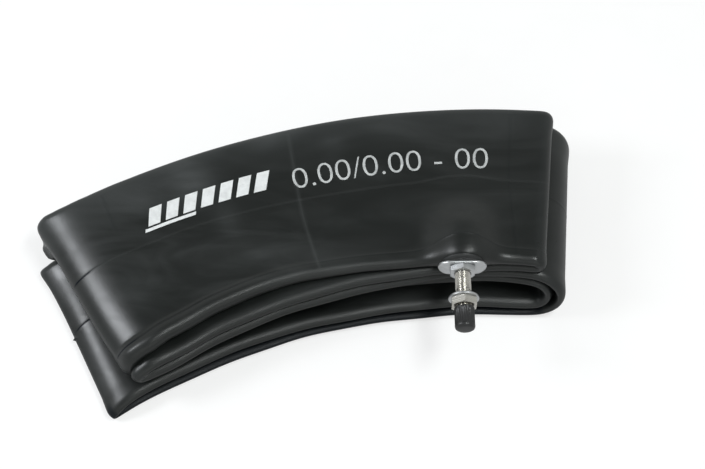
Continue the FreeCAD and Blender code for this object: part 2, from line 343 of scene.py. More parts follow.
def wave(u, w):
    """Gentle unevenness of the flattened sheet."""
    a = np.sin(u / 23.0 + 1.0) * np.cos(w / 19.0 + 1.7)
    b = np.sin(u / 11.0 - w / 16.0 + 2.3)
    c = np.sin(u / 47.0 + 0.6)
    return 0.22 * a + 0.09 * b + 0.2 * c


def line_shift(u, w):
    """Shift of moulding line A and the sheet round it: full at the right, none at the left end."""
    return -3.2 * (1 - fade(u, LAYER_LENGTH - 130, 90)) * np.exp(-((w - LINE_A) / 14.0) ** 2)


def moulding_lines(u, w, first, second):
    """Height of the raised moulding lines, and how much of it gets a painted pale highlight. first and second
    say where the cross lines and line B show."""
    line_a = LINE_HEIGHT * np.exp(-((w - LINE_A) / LINE_HALF_WIDTH) ** 2)
    line_b = LINE_HEIGHT * np.exp(-((w - LINE_B) / LINE_HALF_WIDTH) ** 2)
    height = line_a + second * line_b
    pale = LINE_A_PALE * first * line_a
    for start, slope, tall, lowest, is_pale in CROSS_LINES:
        middle = start + slope * w + 1.2 * np.sin(w / 17.0 + start)
        ridge = first * fade(w, lowest, 6) * tall * np.exp(-((u - middle) / 0.7) ** 2)
        height = height + ridge
        pale = pale + ridge * is_pale
    return height, pale


def half_thickness(w):
    """Half thickness of the sheet across the strip, swelling into the round edges."""
    edge = fade(np.abs(w), STRIP_HALF - BEAD_RADIUS - BEAD_BLEND, BEAD_BLEND)
    return HALF_THICKNESS + (BEAD_RADIUS - HALF_THICKNESS) * edge


def lip_reach(u):
    """How far in from the edge the rounding of a lip starts. It is longest near the left folds."""
    return 3.8 + 0.9 * fade(u, 60, 150)


def lip_swell(u):
    """How far the inner lip of layer 1 stands above the sheet towards the left."""
    return 0.25 + 1.35 * fade(u, 70, 130)


def under_bulge(along, w):
    """The underside of the outer left fold stands out at its far corner."""
    middle = along - (LAYER_LENGTH + 24.0)
    return 10.5 * np.exp(-((middle / 6.0) ** 2)) * np.exp(-(((w - 34.0) / 7.0) ** 4))


def across_faces(upper, outer, lower, inner):
    """One section's values all round: top face, far edge, underside, near edge."""
    return np.concatenate([upper, outer, lower[:, ::-1], inner], axis=1)


def dark_window(along, rows):
    """Where a moulding line gets painted shade: on the shoulder just before a left fold's outermost point,
    where the fold's highlight falls, and a little elsewhere.
    """
    outer = along[np.argmax(np.where(rows[:, 2] < 0.5, rows[:, 0], -1))]
    lower = along[np.argmax(rows[:, 0])]
    shade = 0.12 + 0 * along
    for tip in (outer, lower):
        shade = shade + fade(along, tip - 20, 7) * (1 - fade(along, tip - 5, 4))
    return shade


def limit(height, bend):
    """Keeps an inside face from passing through itself where the centre line bends sharply."""
    tight = height * np.clip(bend, 0, None) / INSIDE_SHARE
    return height / (1 + tight**6) ** (1 / 6)


def on_first(rows):
    """1 on layer 1 and 0 elsewhere."""
    u, z, tu = rows[:, 0], rows[:, 1], rows[:, 4]
    return ((tu > 0.3) & (z > levels(u)[0] - 1.5)).astype(float)[:, None]


def shift_across(u, w, along):
    """Edges that are not quite parallel, and a little wavy. INNER_EDGE fades out past layer 1."""
    inner = np.interp(u, *np.array(INNER_EDGE).T) * (1 - fade(along, LAYER_LENGTH + 12, 60))
    wobble = 0.3 * np.sin(along / 17.0) + 0.16 * np.sin(along / 7.3 + 1.0)
    return w + (inner + wobble) * fade(-w, 0, STRIP_HALF) + line_shift(u, w)


def to_row(u, w, z, lam, dw):
    """Adds the skewed fold ends and the sheet's waves, then places the point."""
    reach = LAYER_LENGTH + LOWER_EXTRA * lam
    near = fade(u, reach - 70, 60)
    t = w / STRIP_HALF
    plain, far, close = [a + (b - a) * lam for a, b in zip(SKEW_UPPER, SKEW_LOWER)]
    skew = plain * t + np.where(t > 0, far, close) * t**3
    tongue = TONGUE_REACH * fade(-(w + dw), 44, 9) * (dw < -2)
    z = z + wave(u, w) * (1 - 0.6 * lam)
    past = u - reach
    corner = np.interp(past, *np.array(FAR_EDGE).T)
    far_side = fade(t, 0.2, 0.7)
    return place(u + near * (skew + tongue), w + corner * far_side, z, lam, dw)


def near_edge(c, s, lam, mound, stand, reach, scale):
    """The rounded near edge from the underside up, as (w, n). stand is how far it swells upwards."""
    square = 1 - 0.5 * mound
    w = -(STRIP_HALF - reach + (reach + MOUND_FRONT * mound) * c ** square)
    n = (BEAD_RADIUS + stand) * np.sign(s) * np.abs(s) ** square * scale + stand
    return w, np.where(n < 0, n * (1 - lam * LOWER_PINCH), n)


def skin_points(rows, along):
    """Points of the casing's skin, one section per row, with their crease, line and across values.

    A section has places w across the strip and heights n over the centre line."""
    u, z, lam, dw, tu, tz, bend = rows.T[:, :, None]
    tip = along[np.argmax(rows[:, 0])]
    window = dark_window(along, rows)[:, None]
    along = along[:, None]
    across = GRID[None, :]
    first = on_first(rows)
    # the mound at the valve, and the swelling of layer 1's near lip
    mound = np.exp(-(np.abs(u - VALVE_U) / MOUND_HALF_LENGTH) ** 2.6) * first
    grow = MOUND_RISE * mound
    swell = lip_swell(u) * (1 - fade(along, LAYER_LENGTH + 3, 10)) * (1 - mound)
    lift = 2 * grow * fade(-across, 6, 30) + 2 * swell * fade(-across, 36, 7)
    near_reach = lip_reach(u) * (1 - mound) + (BEAD_RADIUS + MOUND_RISE) * mound
    near_reach = near_reach * (1 - lam) + LOWER_REACH * lam
    # top face and underside, with what is moulded on them
    w = across * (STRIP_HALF - np.where(across < 0, near_reach, FAR_REACH)) / (STRIP_HALF - BEAD_RADIUS)
    height = half_thickness(across)
    lines, pale = moulding_lines(u, across, first, 1 - fade(along, LAYER_LENGTH + 8, 9))
    ridges = lines * (1 - 0.75 * np.clip(np.abs(bend) / 0.10, 0, 1))
    nub = NUB_HEIGHT * np.exp(-((across - NUB_W) / 0.55) ** 2 - ((along - tip) / 0.6) ** 2)
    upper = limit(height, bend) + ridges + lift + nub
    lower = limit(height, -bend) + ridges * (1 - first)
    lower = lower * (1 - lam * LOWER_PINCH * fade(-across, 22, 16))
    # round edges
    c, s = np.cos(BEAD_ANGLES)[None, :], np.sin(BEAD_ANGLES)[None, :]
    scale = np.where(s > 0, limit(BEAD_RADIUS, bend), limit(BEAD_RADIUS, -bend)) / BEAD_RADIUS
    far_w = STRIP_HALF - FAR_REACH + FAR_REACH * c + 0 * u
    far_n = BEAD_RADIUS * s * scale
    near_w, near_n = near_edge(c[:, ::-1], s[:, ::-1], lam, mound, grow + swell, near_reach, scale[:, ::-1])
    ww = across_faces(w, far_w, w, near_w)
    nn = across_faces(upper, far_n, -lower, near_n)
    uu = u - tz * nn + under_bulge(along, ww)
    ww = ww + (shift_across(uu, ww, along) - ww) * (1 - mound)
    # values that the material reads
    crease = np.clip(np.abs(bend) / 0.14, 0, 1) + 0 * ww
    # line: the moulding lines painted dark as shade where the fold highlights fall, less their painted pale
    # highlight, plus painted shade on the lowest lip
    darkening = across_faces(lines, 0 * far_n, lines, 0 * near_n) / LINE_HEIGHT
    highlight_share = across_faces(pale, 0 * far_n, pale, 0 * near_n) / LINE_HEIGHT
    # painted shade on the near lip of the lowest layer, which lies in the stack's shadow
    lowest = (1 - fade(z, z.min() + 1.5, 1.5)) * fade(-ww, 37, 5)
    line = darkening * window - highlight_share + LOWEST_LIP_PAINTED_SHADE * lowest
    return to_row(uu, ww, z + tu * nn, lam, dw), crease, line, ww


def pick_stations(rows):
    """Chooses rows closely in the folds and at the moulding lines, and widely on the flats."""
    u, bend = rows[:, 0], rows[:, 6]
    wide = smooth_closed(np.abs(bend)[:, None], 2.0)[:, 0]
    density = 1 / FLAT_SPACING + FOLD_DENSITY * np.clip(wide / 0.12, 0, 1)
    first = on_first(rows)[:, 0]
    for start, *_ in CROSS_LINES:
        density = density + first * LINE_DENSITY * np.exp(-((u - start) / 6.5) ** 2)
    total = np.concatenate([[0], np.cumsum(density) * FINE])
    targets = np.arange(int(total[-1])) * total[-1] / int(total[-1])
    index = np.unique(np.clip(np.searchsorted(total, targets), 0, len(rows) - 1))
    return rows[index], index * FINE


class TopFace:
    """The visible face of layer 1, for things printed on it."""

    def __init__(self, rows):
        keep = rows[on_first(rows)[:, 0] > 0.5]
        self.rows = keep[np.argsort(keep[:, 0])]

    def at(self, u, w, proud):
        """Points at places of the developed strip, a little proud of the face."""
        z, lam, dw, tu, tz = [np.interp(u, self.rows[:, 0], self.rows[:, k]) for k in range(1, 6)]
        first = np.ones_like(u)
        n = half_thickness(w) + moulding_lines(u, w, first, first)[0] + proud
        w = w * (STRIP_HALF - lip_reach(u)) / (STRIP_HALF - BEAD_RADIUS)
        inner = np.interp(u, *np.array(INNER_EDGE).T)
        ww = w + inner * fade(-w, 0, STRIP_HALF) + line_shift(u, w)
        return to_row(u - tz * n, ww, z + tu * n, lam, dw)


# ---- meshes ----


def add_object(name, data):
    """An object in the scene that shows the data."""
    obj = bpy.data.objects.new(name, data)
    bpy.context.scene.collection.objects.link(obj)
    return obj


def make_object(name, vertices, faces, smooth_limit=None):
    """A mesh object from millimetre points. smooth_limit is the sharp edge angle in degrees."""
    mesh = bpy.data.meshes.new(name)
    mesh.from_pydata([tuple(v) for v in np.asarray(vertices) * MM], [], faces)
    mesh.validate()
    work = bmesh.new()
    work.from_mesh(mesh)
    bmesh.ops.recalc_face_normals(work, faces=work.faces)
    if smooth_limit is not None:
        for edge in work.edges:
            if len(edge.link_faces) == 2:
                edge.smooth = edge.calc_face_angle() < math.radians(smooth_limit)
    work.to_mesh(mesh)
    work.free()
    mesh.polygons.foreach_set("use_smooth", [True] * len(mesh.polygons))
    return add_object(name, mesh)


def ring_faces(rows, columns, close_rows=True, close_columns=True):
    """Quads of a grid of points. Each way it closes on itself unless it is told not to."""
    faces = []
    for i in range(rows if close_rows else rows - 1):
        k = (i + 1) % rows
        for j in range(columns if close_columns else columns - 1):
            m = (j + 1) % columns
            faces.append((i * columns + j, k * columns + j, k * columns + m, i * columns + m))
    return faces


def dress(obj, body, slot_name, material, *nodes):
    """Gives a piece its material and its body, and hides the CAD nodes it stands for."""
    obj.data.materials.clear()
    obj.data.materials.append(material)
    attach(obj, body)
    if nodes:
        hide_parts(*nodes)
    return obj


def point_value(obj, name, values):
    attribute = obj.data.attributes.new(name, "FLOAT", "POINT")
    attribute.data.foreach_set("value", np.asarray(values, np.float32).ravel())


# Lighter patches on layer 1: (from the right crease, across, half sizes, amount)
HAZE = [(170, 32, 9, 14, 1.2), (126, 41, 14, 8, 0.8), (160, 3, 6, 11, 0.65), (216, -17, 9, 9, 0.5),
        (198, 31, 15, 10, 0.45), (101, 31, 6, 9, 0.45), (150, 44, 60, 7, 0.45), (150, -22, 26, 3, 0.35),
        (178, -8, 20, 2.5, 0.3), (100, -14, 16, 3, 0.25)]


def lighter_patches(rows, along, across):
    """Soft patches on the top face, 0 on the other layers."""
    u = rows[:, 0][:, None]
    total = 0 * across
    for at_u, at_w, half_u, half_w, amount in HAZE:
        total = total + amount * np.exp(-((u - at_u) / half_u) ** 2 - ((across - at_w) / half_w) ** 2)
    return total * (1 - fade(along[:, None], LAYER_LENGTH, 10))


def casing_skin(rows):
    """The whole casing as one closed skin."""
    chosen, along = pick_stations(rows)
    points, crease, line, across = skin_points(chosen, along)
    count, size = points.shape[:2]
    obj = make_object("tube_casing", points.reshape(-1, 3), ring_faces(count, size))
    haze = lighter_patches(chosen, along, across)
    for name, values in (("crease", crease), ("line", line), ("across", across), ("haze", haze)):
        point_value(obj, name, values)
    return obj


# ---- turned pieces about the valve axis; distances are outward, along -Y ----

THREAD_PITCH = 25.4 / 32
THREAD_RADIUS = 3.87
THREAD_DEPTH = 0.43
GROOVE_RADIUS = 3.52
STEM_END = 27.0
NUT_FLATS = 12.0
NUT_BORE = 3.93
NUT_EDGE = 0.12
BORE_CHAMFER = 0.35
WASHER_BORE = 4.15
# Where pieces stand on the stem, as (start, end)
BRIDGE = (-4.35, -3.15)
BASE_NUT = (-3.1, 0.0)
RIM_WASHER = (12.8, 13.8)
RIM_NUT = (13.85, 17.85)
CAP_GASKET = (27.05, 28.1)
# The bridge washer: length, width, and how its ends bend up: (from, over, by)
BRIDGE_SIZE = (24.0, 13.0)
BRIDGE_BEND = (8.2, 3.8, 0.45)
# Marks the points of a nut's profile that lie on its hexagon
ON_HEXAGON = -1
CHAMFER_SLOPE = 0.55
# The cap's grip: ribs round it between two places, on what is wider than a radius
RIB_COUNT = 26
RIB_DEPTH = 0.28
RIBS = (19.9, 27.5)
RIBBED_OVER = 4.9


def about_axis(radius, angle, out):
    """A point round the valve's axis."""
    return radius * math.cos(angle), -out, radius * math.sin(angle)


def turned(name, profile, steps=72, closed=True, shape=None, sharp=40):
    """Turns a (radius, outward) profile. shape(radius, angle, out) may place its points otherwise."""
    angles = [2 * math.pi * i / steps for i in range(steps)]
    place_point = shape or about_axis
    vertices = [place_point(radius, a, out) for a in angles for radius, out in profile]
    faces = ring_faces(steps, len(profile), close_columns=closed)
    obj = make_object(name, vertices, faces, sharp)
    if not closed:
        work = bmesh.new()
        work.from_mesh(obj.data)
        bmesh.ops.remove_doubles(work, verts=work.verts, dist=1e-7)
        bmesh.ops.recalc_face_normals(work, faces=work.faces)
        work.to_mesh(obj.data)
        work.free()
    return obj


def rounded_ring(inner, outer, start, end, fillet):
    """Profile of a washer with rounded edges."""
    corners = [(inner, start, 1, 1, 180), (outer, start, -1, 1, 270),
               (outer, end, -1, -1, 0), (inner, end, 1, -1, 90)]
    profile = []
    for radius, out, side, up, first in corners:
        for step in (0, 30, 60, 90):
            a = math.radians(first + step)
            profile.append((radius + side * fillet + fillet * math.cos(a),
                            out + up * fillet + fillet * math.sin(a)))
    return profile


def hexagon(angle):
    """Radius of a nut's hexagon at an angle."""
    return NUT_FLATS / 2 / math.cos((angle + math.pi / 6) % (math.pi / 3) - math.pi / 6)


def hex_nut(name, start, end):
    """Hexagon nut, both faces chamfered by a cone, with a countersunk bore."""
    edge = NUT_FLATS / 2 - NUT_EDGE
    middle = (start + end) / 2
    rim = NUT_BORE + BORE_CHAMFER
    profile = [(NUT_BORE, start + BORE_CHAMFER), (rim, start), (edge - 0.5, start), (edge, start),
               (ON_HEXAGON, start + NUT_EDGE), (ON_HEXAGON, middle), (ON_HEXAGON, end - NUT_EDGE),
               (edge, end), (edge - 0.5, end), (rim, end), (NUT_BORE, end - BORE_CHAMFER)]

    def chamfered(radius, angle, out):
        if radius != ON_HEXAGON:
            return about_axis(radius, angle, out)
        radius = hexagon(angle)
        fall = (radius - edge) * CHAMFER_SLOPE
        if out < middle:
            out = start + fall
        elif out > middle:
            out = end - fall
        return about_axis(radius, angle, out)

    return turned(name, profile, 144, shape=chamfered, sharp=28)


def threaded_stem():
    """The stem: foot flange, threaded barrel with two relief grooves, and its core chamber."""
    full, groove = THREAD_RADIUS, GROOVE_RADIUS
    outside = [(-8.7, full), (-0.85, full), (-0.8, groove), (0.0, groove), (0.05, full), (9.0, full),
               (9.05, groove), (9.8, groove), (9.85, full), (26.4, full), (STEM_END, 3.4)]
    steps = 60
    rows = []
    for radius, out in [(1.5, -10.15), (5.4, -10.15), (5.7, -9.9), (5.7, -8.95), (5.45, -8.75)]:
        rows.append([(radius, out)] * steps)
    for out in np.arange(-8.6, STEM_END + 0.0001, THREAD_PITCH / 8):
        most = float(np.interp(out, *np.array(outside).T))
        ring = []
        for i in range(steps):
            phase = (out / THREAD_PITCH - i / steps) % 1.0
            tooth = float(np.clip(2.6 * abs(phase - 0.5) - 0.25, 0, 1))
            depth = THREAD_DEPTH * (1 - tooth)
            ending = min(1.0, max(0.0, (27.05 - out) / 0.7), max(0.0, (out + 8.4) / 0.8))
            ring.append((min(most, full - depth * ending), float(out)))
        rows.append(ring)
    inner = [(3.25, STEM_END), (2.75, STEM_END), (2.65, 26.9), (2.65, 18.2), (2.1, 16.8), (2.1, 2.0),
             (1.5, 1.0)]
    for radius, out in inner:
        rows.append([(radius, out)] * steps)
    vertices = []
    for ring in rows:
        for i, (radius, out) in enumerate(ring):
            vertices.append(about_axis(radius, 2 * math.pi * i / steps, out))
    return make_object("stem", vertices, ring_faces(len(rows), steps), 50)


def stadium(length, width):
    """Radius of a rounded bar's outline at an angle."""
    half = (length - width) / 2
    end = width / 2

    def radius(angle):
        c, s = abs(math.cos(angle)), abs(math.sin(angle))
        if s > 1e-9 and c / s * end <= half:
            return end / s
        return half * c + math.sqrt(max(0.0, end * end - (half * s) ** 2))
    return radius


def bridge_washer():
    """Oval pressed-steel washer whose two ends bend back towards the tube."""
    outline = stadium(*BRIDGE_SIZE)
    start, end = BRIDGE
    bend_from, bend_over, bend_by = BRIDGE_BEND
    profile = [(0.0, start + 0.15), (0.02, start), (0.3, start), (0.6, start), (0.85, start),
               (0.97, start), (1.0, start + 0.25), (1.0, end - 0.35), (0.975, end - 0.1), (0.93, end),
               (0.7, end), (0.4, end), (0.04, end), (0.0, end - 0.15)]

    def bent(share, angle, out):
        x, _, z = about_axis(WASHER_BORE + (outline(angle) - WASHER_BORE) * share, angle, out)
        return x, bend_by * float(fade(abs(x), bend_from, bend_over)) - out, z

    return turned("bridge_plate", profile, 128, shape=bent, sharp=35)


def valve_patch():
    """Moulded rubber seat that carries the washer, its edge spread onto the tube."""
    profile = [(3.98, -6.3), (6.0, -6.32), (9.6, -6.33), (10.25, -6.15), (10.5, -5.8), (10.4, -5.45),
               (10.05, -5.0), (9.6, -4.6), (9.2, -4.45), (8.6, -4.41), (6.0, -4.4), (4.3, -4.4), (3.98, -4.6)]
    return turned("valve_seat_rubber", profile, 96)


def ribbed_cap():
    """Plastic dust cap with a ribbed grip and a domed end."""
    outer = [(4.55, 18.5), (4.8, 18.6), (4.95, 18.85), (4.95, 19.7), (4.93, 20.0), (4.93, 27.4),
             (4.95, 27.7), (4.95, 28.5), (4.86, 28.95), (4.6, 29.4), (4.1, 29.75), (3.2, 29.93), (1.6, 30.0),
             (0.0, 30.0)]
    inside = [(0.0, 28.25), (3.6, 28.2), (3.92, 28.0), (3.92, 19.1), (4.1, 18.6), (4.3, 18.5)]

    def ribbed(radius, angle, out):
        if radius > RIBBED_OVER and RIBS[0] < out < RIBS[1]:
            groove = 0.5 - 0.5 * math.cos(angle * RIB_COUNT)
            radius -= RIB_DEPTH * groove**0.7
        return about_axis(radius, angle, out)

    return turned("dust_cap", inside + outer, 208, closed=False, shape=ribbed, sharp=50)


# ---- print on layer 1 ----

# Where a print starts, as (distance from the right crease, across), and its sizes
DIGITS_AT = (123.9, 11.5)
DIGITS_SCALE = (18.6, 15.8)
MARK_AT = (198.5, 11.6)
MARK_LOW = 2.9
MARK_TALL = 10.2
MARK_SLANT = 0.42
MARK_COUNT = 7
MARK_STEP = 9.3
MARK_WIDTH = 6.4
UNDERLINE = (27.0, 1.8)
PRINT_PROUD = 0.10
# How far a print's underside sinks in
PRINT_SUNK = 0.05


def mapped(name, flat_points, faces, top_face, origin, size, thickness):
    """Lays a flat drawing on layer 1. Its x runs to the right along the strip, y across it."""
    flat = np.asarray(flat_points, float)
    radius = STRIP_RADIUS + origin[1]
    u = origin[0] - flat[:, 0] * size[0] * STRIP_RADIUS / radius
    w = origin[1] + flat[:, 1] * size[1]
    low = top_face.at(u, w, -PRINT_SUNK)
    high = top_face.at(u, w, thickness)
    count = len(flat)
    edges = {}
    for face in faces:
        for a, b in zip(face, face[1:] + face[:1]):
            edges[(a, b)] = edges.get((a, b), 0) + 1
    solid = [tuple(face) for face in faces]
    solid += [tuple(i + count for i in reversed(face)) for face in faces]
    solid += [(b, a, a + count, b + count) for (a, b) in edges if (b, a) not in edges]
    return make_object(name, np.vstack([high, low]), solid, 30)


def finely(points, faces, longest):
    """Cuts long edges, so that a flat drawing can follow the sheet."""
    mesh = bpy.data.meshes.new("drawing")
    mesh.from_pydata([(p[0], p[1], 0) for p in points], [], faces)
    work = bmesh.new()
    work.from_mesh(mesh)
    bmesh.ops.remove_doubles(work, verts=work.verts, dist=1e-4)
    bmesh.ops.triangulate(work, faces=work.faces)
    for _ in range(5):
        long_edges = [e for e in work.edges if e.calc_length() > longest]
        if not long_edges:
            break
        bmesh.ops.subdivide_edges(work, edges=long_edges, cuts=1)
        bmesh.ops.triangulate(work, faces=work.faces)
    work.verts.index_update()
    flat = [(v.co.x, v.co.y) for v in work.verts]
    triangles = [[v.index for v in f.verts] for f in work.faces]
    work.free()
    bpy.data.meshes.remove(mesh)
    return flat, triangles


def size_digits(top_face):
    """The size print, with noughts for the real figures."""
    curve = bpy.data.curves.new("digits", "FONT")
    curve.body = "0.00/0.00 - 00"
    curve.size = 1.0
    curve.resolution_u = 5
    curve.space_character = 0.98
    curve.offset = -0.013
    text = add_object("digits", curve)
    bpy.context.view_layer.update()
    shape = text.evaluated_get(bpy.context.evaluated_depsgraph_get()).to_mesh()
    points = [(v.co.x, v.co.y) for v in shape.vertices]
    faces = [list(p.vertices) for p in shape.polygons]
    bpy.data.objects.remove(text)
    flat, triangles = finely(points, faces, 0.14)
    return mapped("size_digits", flat, triangles, top_face, DIGITS_AT, DIGITS_SCALE, PRINT_PROUD)


def plain_mark(top_face):
    """A plain mark of slanted bars over a thin underline."""
    points, faces = [], []

    def bar(x, width, low, high, slant):
        start = len(points)
        rows = max(2, int((high - low) / 1.5))
        columns = max(2, int(width / 1.5))
        for i in range(rows + 1):
            y = low + (high - low) * i / rows
            for j in range(columns + 1):
                points.append((x + width * j / columns + slant * y, y))
        for i in range(rows):
            for j in range(columns):
                a = start + i * (columns + 1) + j
                faces.append([a, a + 1, a + columns + 2, a + columns + 1])

    for i in range(MARK_COUNT):
        bar(MARK_STEP * i, MARK_WIDTH, MARK_LOW, MARK_LOW + MARK_TALL, MARK_SLANT)
    bar(-1.5, UNDERLINE[0], 0.0, UNDERLINE[1], MARK_SLANT)
    return mapped("plain_mark", points, faces, top_face, MARK_AT, (1.0, 1.0), PRINT_PROUD)


# ---- materials ----


class Tree:
    """The node tree of a material or world, cleared."""

    def __init__(self, owner):
        owner.use_nodes = True
        self.tree = owner.node_tree
        self.tree.nodes.clear()

    def add(self, kind, inputs=(), **settings):
        """A node with its settings. inputs are (socket, value) pairs."""
        node = self.tree.nodes.new(kind)
        for key, value in settings.items():
            setattr(node, key, value)
        for socket, value in inputs:
            self.feed(node.inputs[socket], value)
        return node

    def feed(self, socket, value):
        """Gives an input a number or a colour, or links it to a (node, output) pair."""
        if not isinstance(value, tuple):
            socket.default_value = value
        elif isinstance(value[0], bpy.types.Node):
            self.tree.links.new(value[0].outputs[value[1]], socket)
        else:
            socket.default_value = (*value, 1)


class Nodes(Tree):
    """Short helpers for building one node material."""

    def __init__(self, name):
        self.material = bpy.data.materials.new(name)
        super().__init__(self.material)
        self.out = self.add("ShaderNodeOutputMaterial")
        self.shader = self.add("ShaderNodeBsdfPrincipled")
        self.feed(self.out.inputs["Surface"], (self.shader, "BSDF"))
        self.coords = self.add("ShaderNodeTexCoord")

    def noise(self, scale, detail=4.0, roughness=0.55, stretch=(1.0, 1.0, 1.0), distortion=0.0):
        """Noise in the object's own space. stretch is its scale along each axis."""
        mapping = self.add("ShaderNodeMapping", [("Vector", (self.coords, "Object"))])
        mapping.inputs["Scale"].default_value = stretch
        inputs = [("Vector", (mapping, "Vector")), ("Scale", scale), ("Detail", detail),
                  ("Roughness", roughness), ("Distortion", distortion)]
        return self.add("ShaderNodeTexNoise", inputs), "Fac"

    def ramp(self, value, low, high, start=0.3, end=0.7):
        """Maps a value to a range, or to two colours."""
        if isinstance(low, tuple):
            node = self.add("ShaderNodeValToRGB", [("Fac", value)])
            for element, position, colour in zip(node.color_ramp.elements, (start, end), (low, high)):
                element.position = position
                element.color = (*colour, 1)
            return node, "Color"
        inputs = [("Value", value), ("From Min", start), ("From Max", end), ("To Min", low),
                  ("To Max", high)]
        return self.add("ShaderNodeMapRange", inputs), "Result"

    def part(self, value, start, end):
        """0 up to start, 1 from end on, and straight between them."""
        return self.ramp(value, 0.0, 1.0, start, end)

    def math(self, operation, a, b):
        """a and b are numbers or (node, output) pairs."""
        return self.add("ShaderNodeMath", [(0, a), (1, b)], operation=operation), "Value"

    def times(self, a, b):
        return self.math("MULTIPLY", a, b)

    def plus(self, value, other, share=None):
        """value + other, or value + other * share."""
        return self.math("ADD", value, other if share is None else self.times(other, share))

    def mix(self, factor, a, b):
        """Mixes two colours, each a tuple of numbers or a (node, output) pair."""
        inputs = [(0, factor), (6, a), (7, b)]
        return self.add("ShaderNodeMix", inputs, data_type="RGBA", blend_type="MIX"), 2

    def set(self, socket, value):
        self.feed(self.shader.inputs[socket], value)

    def bump(self, layers):
        """Stacks (value, strength, distance in mm) bumps."""
        last = None
        for value, strength, distance in layers:
            inputs = [("Strength", strength), ("Distance", distance * MM), ("Height", value)]
            if last:
                inputs.append(("Normal", (last, "Normal")))
            last = self.add("ShaderNodeBump", inputs)
        self.set("Normal", (last, "Normal"))

    def attribute(self, name):
        return self.add("ShaderNodeAttribute", attribute_name=name), "Fac"


# Colours of the rubber: bare, under a full film of powder and painted sheen, a speck of powder, a rubbed
# fold, the painted pale highlight of a moulding line, and the painted shade on moulding lines and the lowest
# lip
BARE = (0.0070, 0.0084, 0.0078)
POWDER_AND_SHEEN = (0.0460, 0.0495, 0.0495)
SPECK = (0.16, 0.17, 0.17)
RUBBED = (0.030, 0.034, 0.037)
PALE_LINE_HIGHLIGHT = (0.105, 0.112, 0.112)
LINE_AND_LIP_SHADE = (0.003, 0.005, 0.009)


def butyl_rubber():
    """Black butyl: cloudy sheen, fine moulded grain, traces of dusting powder, rubbed folds, a painted sheen
    towards the outer edge, a painted highlight and shade on the moulding lines, and painted shade on the
    lowest lip.
    """
    n = Nodes("butyl_rubber")
    cloud = n.noise(15.0, 3.0, 0.5, stretch=(0.6, 1.3, 1.0), distortion=0.5)
    smear = n.noise(42.0, 5.0, 0.6, stretch=(0.35, 1.2, 1.0), distortion=1.2)
    grain = n.noise(1500.0, 2.0, 0.6)
    pores = n.noise(420.0, 3.0, 0.6)
    dust = n.noise(900.0, 6.0, 0.75)
    crease = n.attribute("crease")
    line = n.attribute("line")
    across = n.attribute("across")
    haze = n.attribute("haze")
    # a thin grey film of dusting powder in patches and streaks, the lighter patches of the haze table, and a
    # painted sheen that lightens the strip towards its outer edge
    outward = n.ramp(across, 0.0, 0.52, 18.0, 42.0)
    patches = n.part(cloud, 0.36, 0.66)
    streaks = n.part(smear, 0.40, 0.70)
    powder_and_sheen = n.times(outward, n.plus(n.times(patches, 0.75), 0.35))
    powder_and_sheen = n.plus(powder_and_sheen, n.times(streaks, patches), 0.34)
    mottled = n.plus(n.times(patches, 0.4), 0.45)
    uneven = n.plus(mottled, streaks, 0.5)
    powder_and_sheen = n.plus(powder_and_sheen, n.times(haze, uneven), 0.75)
    specks = n.part(dust, 0.62, 0.78)
    base = n.mix(powder_and_sheen, BARE, POWDER_AND_SHEEN)
    colour = n.mix(n.times(specks, 0.05), base, SPECK)
    colour = n.mix(n.times(crease, 0.10), colour, RUBBED)
    # painted shade on the moulding lines and the lowest lip, and a painted pale highlight on the moulding
    # lines
    darkening = n.math("MAXIMUM", n.math("MINIMUM", line, 0.9), 0.0)
    pale_highlight = n.times(n.math("MAXIMUM", n.times(line, -1.0), 0.0), 0.15)
    colour = n.mix(pale_highlight, colour, PALE_LINE_HIGHLIGHT)
    colour = n.mix(darkening, colour, LINE_AND_LIP_SHADE)
    n.set("Base Color", colour)
    rough = n.ramp(cloud, 0.265, 0.345, 0.34, 0.68)
    rough = n.plus(rough, streaks, 0.07)
    rough = n.plus(rough, pores, 0.05)
    rough = n.plus(rough, crease, -0.03)
    rough = n.plus(rough, n.ramp(across, 0.07, 0.0, -43.0, -37.0))
    n.set("Roughness", rough)
    # where shade is painted, the reflection is taken away too
    n.set("Specular IOR Level", n.times(n.math("SUBTRACT", 1.0, darkening), 0.48))
    n.bump([(cloud, 0.25, 1.2), (smear, 0.08, 0.2), (pores, 0.06, 0.06), (grain, 0.12, 0.05)])
    return n.material


def moulded_rubber(name, low, high, roughness):
    """Plain moulded rubber for the small pieces."""
    n = Nodes(name)
    cloud = n.noise(180.0, 3.0, 0.55)
    grain = n.noise(2600.0, 3.0, 0.6)
    scuff = n.noise(700.0, 6.0, 0.7, stretch=(1.0, 3.0, 1.0))
    base = n.ramp(cloud, low, high)
    mark = n.times(n.part(scuff, 0.58, 0.78), 0.18)
    n.set("Base Color", n.mix(mark, base, (0.14, 0.14, 0.14)))
    n.set("Roughness", n.plus(n.ramp(scuff, -0.06, 0.10), roughness))
    n.bump([(cloud, 0.2, 0.12), (grain, 0.3, 0.03)])
    return n.material


def metal(name, low, high, roughness, tarnish=(0.10, 0.07, 0.04), amount=0.12):
    """Turned metal: fine tool marks round the axis, cloudy tarnish and small scratches."""
    n = Nodes(name)
    cloud = n.noise(240.0, 4.0, 0.6)
    tool = n.noise(1.0, 3.0, 0.6, stretch=(60.0, 2700.0, 60.0))
    scratch = n.noise(500.0, 8.0, 0.75, stretch=(1.0, 5.0, 1.0), distortion=1.4)
    base = n.ramp(cloud, low, high)
    stain = n.times(n.part(scratch, 0.52, 0.80), amount)
    n.set("Base Color", n.mix(stain, base, tarnish))
    n.set("Metallic", 1.0)
    rough = n.plus(n.ramp(tool, -0.05, 0.07), roughness)
    n.set("Roughness", n.plus(rough, stain, 0.8))
    n.bump([(tool, 0.15, 0.02), (scratch, 0.10, 0.02)])
    return n.material


